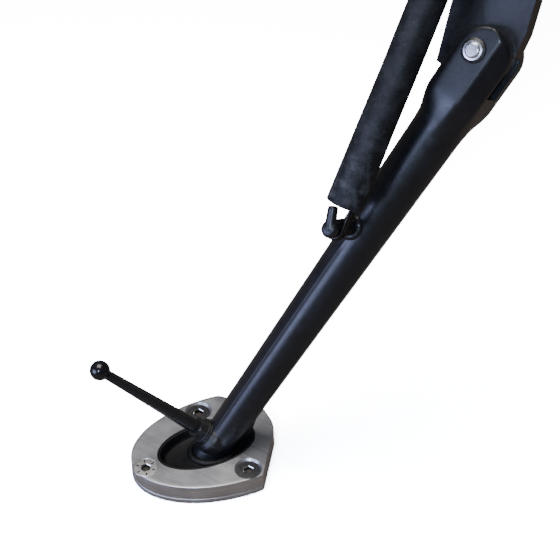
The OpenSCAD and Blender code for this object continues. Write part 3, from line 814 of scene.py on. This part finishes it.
# The tops of the heads lie this far below the ring's.
sunk, flush = 1.2, 0.1
for k, spot in enumerate(black_spots):
    piece = screw("black_plate_screw_%d" % (k + 1), spot, ring_top - sunk, black_oxide)
    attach(piece, "leg")
    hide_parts("black_screws")
piece = screw("bright_plate_screw", bright_spot, ring_top - flush, stainless, 6)
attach(piece, "leg")
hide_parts("bright_screw")

# Pivot bolt, washer and nut.
# A zinc-plated shoulder bolt with a low round head turns with the leg. A washer and a flanged lock nut
# close it behind the inboard ear.
bolt = turned("pivot_shoulder_bolt", rounded([
    (0, -31, 0), (4.4, -31, 0.4), (5, -30.2, 0.3), (5, -20.6, 0.2), (6, -20.4, 0.2), (6, 19, 0.1),
    (7.2, 19, 0.2), (7.2, 19.9, 0.3), (5.6, 20.8, 0.6), (4.4, 21, 0.3), (4.1, 22, 0.4), (3.4, 22.3, 0.4),
    (0, 22.3, 0)]), pivot_frame)
bolt_washer = turned("pivot_flat_washer", rounded([
    (6.1, -20.6, 0.2), (9.5, -20.6, 0.3), (9.5, -19, 0.2), (6.1, -19, 0.2)], closed=True),
    pivot_frame, looped=True)
bolt_nut = softened("pivot_lock_nut", "pivot_nut", 0.4, 2)
# The head's flange and outer slope are coloured dark grey, unlike its bright zinc middle.
dark_rim_zinc = coated("dark_rim_zinc", dark=(0.03, 0.03, 0.03), light=(0.10, 0.10, 0.10), lumps=600,
                     rough=(0.4, 0.6), peel=0.02, chip=0.3, bare=(0.4, 0.4, 0.4), dirt=0.1, metal=1.0)
part_painted(bolt, pivot_frame, zinc,
             (dark_rim_zinc, lambda radius, height, level: (radius > 5.55) & (height > 18)))
for piece in (bolt_washer, bolt_nut):
    piece.data.materials.append(zinc)
for piece, node in ((bolt, "pivot_bolt"), (bolt_washer, "pivot_washer"), (bolt_nut, "pivot_nut")):
    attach(piece, "leg")
    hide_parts(node)

# Return springs.
# Two close-wound tension springs, one inside the other, of oiled spring wire. Each ends in an eye round
# the hook and an eye round the anchor post.
span = float(np.linalg.norm(anchor_flat - hook_flat))
to_anchor = np.append((anchor_flat - hook_flat) / span, 0)
spring_x = to_anchor @ np.array(swing_axes)
spring_frame = (hook, (spring_x, np.cross(out, spring_x), out))
spring_wire = coated("oiled_spring_wire", dark=(0.020, 0.019, 0.018), light=(0.045, 0.041, 0.037),
                     lumps=300, rough=(0.3, 0.45), peel=0.006, chip=0.3, bare=(0.16, 0.13, 0.10),
                     dirt=0.08, metal=1.0)


def spring_line(wire_d, coil_r, eye_r, level, start):
    """Middle line of a spring in millimetres from the hook's axis: an eye round the post at its level, a
    straight shank beside it, and from the start a helix to the middle of the span, in close turns a wire
    apart. The corner between them is eased, and the other half is the same, turned half round."""
    bend = np.radians(np.linspace(40, 268, 44))
    eye = np.stack([eye_r * np.cos(bend), eye_r * np.sin(bend), level + 0 * bend], 1)
    shank_x = np.linspace(0.5, start - 2, 14)
    shank = np.stack([shank_x, -eye_r + 0 * shank_x, level + 0 * shank_x], 1)
    first = math.atan2(level, -eye_r)
    half = span / 2 - start
    turns = round(half / wire_d) - 1 + ((math.pi / 2 - first) / (2 * math.pi)) % 1
    t = np.linspace(0, 1, int(22 * turns))
    angle = first + 2 * math.pi * turns * t
    coil = round_axis(start + half * t, coil_r, angle)
    line = np.vstack([eye, shank, coil])
    corner = slice(len(eye) + 8, len(eye) + 22)
    for _ in range(3):
        line[corner] = (np.roll(line, 1, 0)[corner] + line[corner] + np.roll(line, -1, 0)[corner]) / 3
    back = line[-2::-1] * [-1, -1, 1] + [span, 0, 0]
    return np.vstack([line, back])


def wire(name, line, radius, start, sides=14):
    """Round wire along a line: each ring stands square to the line. Its first axis points away from the
    spring's middle along the coil, and lies in the eye's plane before and after it. Flat faces close the
    wire's ends."""
    ahead = np.gradient(line, axis=0)
    ahead /= np.linalg.norm(ahead, axis=1, keepdims=True)
    from_middle = line[:, :1] - span / 2
    in_plane = np.cross(ahead, [0.0, 0.0, 1.0]) * -np.sign(from_middle + 1e-9)
    side = np.where(abs(from_middle) < span / 2 - start + 1, line * [0, 1, 1], in_plane)
    side = side - ahead * (side * ahead).sum(1, keepdims=True)
    side /= np.linalg.norm(side, axis=1, keepdims=True)
    up = np.cross(ahead, side)
    t = np.linspace(0, 2 * math.pi, sides, endpoint=False)[None, :, None]
    rings = line[:, None] + radius * (np.cos(t) * side[:, None] + np.sin(t) * up[:, None])
    return skin(name, in_frame(rings, *spring_frame))


for name, node, wire_d, coil_r, eye_r, level, start in (
        ("outer_coil_spring", "outer_spring", 3.0, 7.7, 5.8, -1.6, 25),
        ("inner_coil_spring", "inner_spring", 2.4, 4.6, 5.5, 1.4, 28)):
    piece = wire(name, spring_line(wire_d, coil_r, eye_r, level, start), wire_d / 2, start)
    piece.data.materials.append(spring_wire)
    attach(piece, "spring")
    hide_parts(node)

# Spring sleeve.
# A length of rubber hose slipped over the springs to stop them from rattling. Its colour lightens to a
# bluish grey in patches towards its lower end, and in fine specks all over.
# Its wall's section goes round the springs, a little out of round in slow waves and wider at its lower end.
sleeve_from, sleeve_r, wall, sides = 15.4, 10.65, 1.1, 96
sleeve_len = span - 2 * sleeve_from
lip = rounded([(0, 0, 0.45), (0, sleeve_len, 0.45), (-wall, sleeve_len, 0.45), (-wall, 0, 0.45)],
              closed=True)
share = np.linspace(0.01, 0.99, 70)
outside = np.column_stack([0 * share, 1.5 + (sleeve_len - 3) * share])
inside = np.column_stack([-wall + 0 * share, 1.5 + (sleeve_len - 3) * share[::-1]])
loop = np.vstack([lip[3:6], outside, lip[6:18], inside, lip[18:24], lip[:3]])
turn = np.linspace(0, 2 * math.pi, sides, endpoint=False)[None, :]
offset, along = loop[:, :1], loop[:, 1:]
sag = (0.16 * np.sin(3 * turn + along / 30) + 0.10 * np.sin(2 * turn - along / 17 + 1)
       + 0.05 * np.sin(5 * turn + along / 9))
flare = 0.35 - 0.75 * smooth(along / sleeve_len)
rings = round_axis(sleeve_from + along, sleeve_r + offset + flare + sag, turn)
sleeve = skin("rubber_sleeve", in_frame(rings, *spring_frame), looped=True)
along_share = sleeve.data.attributes.new("along", "FLOAT", "POINT")
along_share.data.foreach_set("value", np.repeat(along[:, 0] / sleeve_len, sides).astype(np.float32))
hose, tree, shader = blank("sleeve_rubber")
lower_end = add(tree, "MapRange", {"Value": add(tree, "Attribute", attribute_name="along").outputs["Fac"],
                                   "From Min": 0.45, "From Max": 0.0, "To Min": 0.18, "To Max": 1.0})
# Lighter bluish-grey patches towards the lower end, and fine specks all over.
lower_patches = combine(tree, effect(tree, mottle, Scale=110, Detail=10, Low=-0.6, High=1.0),
                 lower_end.outputs["Result"], "MULTIPLY")
specks = combine(tree, effect(tree, mottle, Scale=1200, Detail=2, Low=-3.0, High=1.0), 0.35, "MULTIPLY")
marks = combine(tree, lower_patches, combine(tree, specks, 0.0, "MAXIMUM"))
grey = add(tree, "Clamp", {0: marks}).outputs[0]
tree.links.new(blend(tree, grey, (0.005, 0.0055, 0.007), (0.075, 0.078, 0.088)),
               shader.inputs["Base Color"])
tree.links.new(combine(tree, effect(tree, mottle, Scale=200, Detail=6, Low=0.50, High=0.66),
                       combine(tree, grey, 0.25, "MULTIPLY")), shader.inputs["Roughness"])
shader.inputs["Specular IOR Level"].default_value = 0.3
relieve(tree, shader, effect(tree, mottle, Scale=700, Detail=6), 0.03)
sleeve.data.materials.append(hose)
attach(sleeve, "spring")
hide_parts("spring_sleeve")
